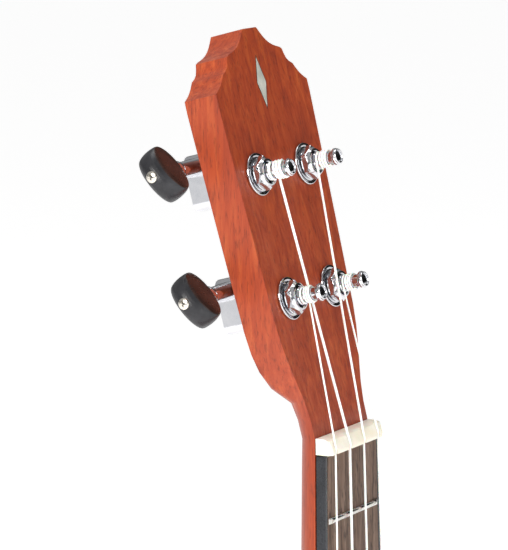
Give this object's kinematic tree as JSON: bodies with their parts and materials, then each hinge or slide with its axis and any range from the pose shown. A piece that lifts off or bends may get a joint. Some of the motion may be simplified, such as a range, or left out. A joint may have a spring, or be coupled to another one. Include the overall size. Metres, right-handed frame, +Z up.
{
  "type": "ukulele",
  "caption": "Small four-stringed wooden lute with a waisted hollow body, a fretted neck and a crowned headstock with geared tuners.",
  "frame": {"origin": "the hanger seat: on the centre plane, 20 mm above the fretboard end of the nut and 9.8 mm behind the playing surface, where the neck flares into the headstock and a two-armed hanger carries it", "axes": "+Z up the neck towards the headstock, parallel with the fretboard; the strings face -Y; the bass side is at -X"},
  "size_m": [0.204, 0.0758, 0.6188],
  "materials": {
    "mahogany": "satin varnish",
    "walnut": "open-pored, oiled",
    "inner_wood": "raw sanded",
    "black_binding": "polished",
    "bone_plastic": "satin",
    "nylon": "translucent white",
    "chrome": "polished",
    "steel": "nickel plated",
    "black_button": "satin black"
  },
  "bodies": {
    "instrument": {"neck": "mahogany", "fretboard": "walnut", "fretboard_binding": "black_binding", "nut": "bone_plastic", "soundboard": "mahogany", "back": "mahogany", "rib_bass": "mahogany", "rib_treble": "mahogany", "neck_block": "inner_wood", "tail_block": "inner_wood", "top_lining_bass": "inner_wood", "top_lining_treble": "inner_wood", "back_lining_bass": "inner_wood", "back_lining_treble": "inner_wood", "upper_brace": "inner_wood", "lower_brace": "inner_wood", "fan_brace_bass": "inner_wood", "fan_brace_centre": "inner_wood", "fan_brace_treble": "inner_wood", "bridge_plate": "inner_wood", "back_brace_upper": "inner_wood", "back_brace_lower": "inner_wood", "bridge": "walnut", "saddle": "bone_plastic", "string_g": "nylon", "string_c": "nylon", "string_e": "nylon", "string_a": "nylon", "tuner_g_housing": "chrome", "tuner_g_bushing": "chrome", "tuner_g_washer": "chrome", "tuner_c_housing": "chrome", "tuner_c_bushing": "chrome", "tuner_c_washer": "chrome", "tuner_e_housing": "chrome", "tuner_e_bushing": "chrome", "tuner_e_washer": "chrome", "tuner_a_housing": "chrome", "tuner_a_bushing": "chrome", "tuner_a_washer": "chrome"},
    "knob_g": {"tuner_g_worm_shaft": "steel", "tuner_g_button": "black_button", "tuner_g_button_screw": "steel"},
    "post_g": {"tuner_g_post": "chrome", "string_g_winding": "nylon"},
    "knob_c": {"tuner_c_worm_shaft": "steel", "tuner_c_button": "black_button", "tuner_c_button_screw": "steel"},
    "post_c": {"tuner_c_post": "chrome", "string_c_winding": "nylon"},
    "knob_e": {"tuner_e_worm_shaft": "steel", "tuner_e_button": "black_button", "tuner_e_button_screw": "steel"},
    "post_e": {"tuner_e_post": "chrome", "string_e_winding": "nylon"},
    "knob_a": {"tuner_a_worm_shaft": "steel", "tuner_a_button": "black_button", "tuner_a_button_screw": "steel"},
    "post_a": {"tuner_a_post": "chrome", "string_a_winding": "nylon"}
  },
  "joints": [
    {"name": "knob_g_turn", "type": "hinge", "parent": "instrument", "child": "knob_g", "pos_m": [-0.0142, 0.02238, 0.03094], "axis": [-1, 0, 0], "continuous": true},
    {"name": "post_g_turn", "type": "hinge", "parent": "instrument", "child": "post_g", "pos_m": [-0.0142, 0.00462, 0.02862], "axis": [0, -0.9711, 0.2385], "continuous": true},
    {"name": "knob_c_turn", "type": "hinge", "parent": "instrument", "child": "knob_c", "pos_m": [-0.0157, 0.032, 0.07008], "axis": [-1, 0, 0], "continuous": true},
    {"name": "post_c_turn", "type": "hinge", "parent": "instrument", "child": "post_c", "pos_m": [-0.0157, 0.01423, 0.06775], "axis": [0, -0.9711, 0.2385], "continuous": true},
    {"name": "knob_e_turn", "type": "hinge", "parent": "instrument", "child": "knob_e", "pos_m": [0.0157, 0.032, 0.07008], "axis": [1, 0, 0], "continuous": true},
    {"name": "post_e_turn", "type": "hinge", "parent": "instrument", "child": "post_e", "pos_m": [0.0157, 0.01423, 0.06775], "axis": [0, -0.9711, 0.2385], "continuous": true},
    {"name": "knob_a_turn", "type": "hinge", "parent": "instrument", "child": "knob_a", "pos_m": [0.0142, 0.02238, 0.03094], "axis": [1, 0, 0], "continuous": true},
    {"name": "post_a_turn", "type": "hinge", "parent": "instrument", "child": "post_a", "pos_m": [0.0142, 0.00462, 0.02862], "axis": [0, -0.9711, 0.2385], "continuous": true}
  ],
  "couplings": [
    {"joint": "post_g_turn", "follows": "knob_g_turn", "ratio": 0.071429},
    {"joint": "post_c_turn", "follows": "knob_c_turn", "ratio": 0.071429},
    {"joint": "post_e_turn", "follows": "knob_e_turn", "ratio": 0.071429},
    {"joint": "post_a_turn", "follows": "knob_a_turn", "ratio": 0.071429}
  ]
}
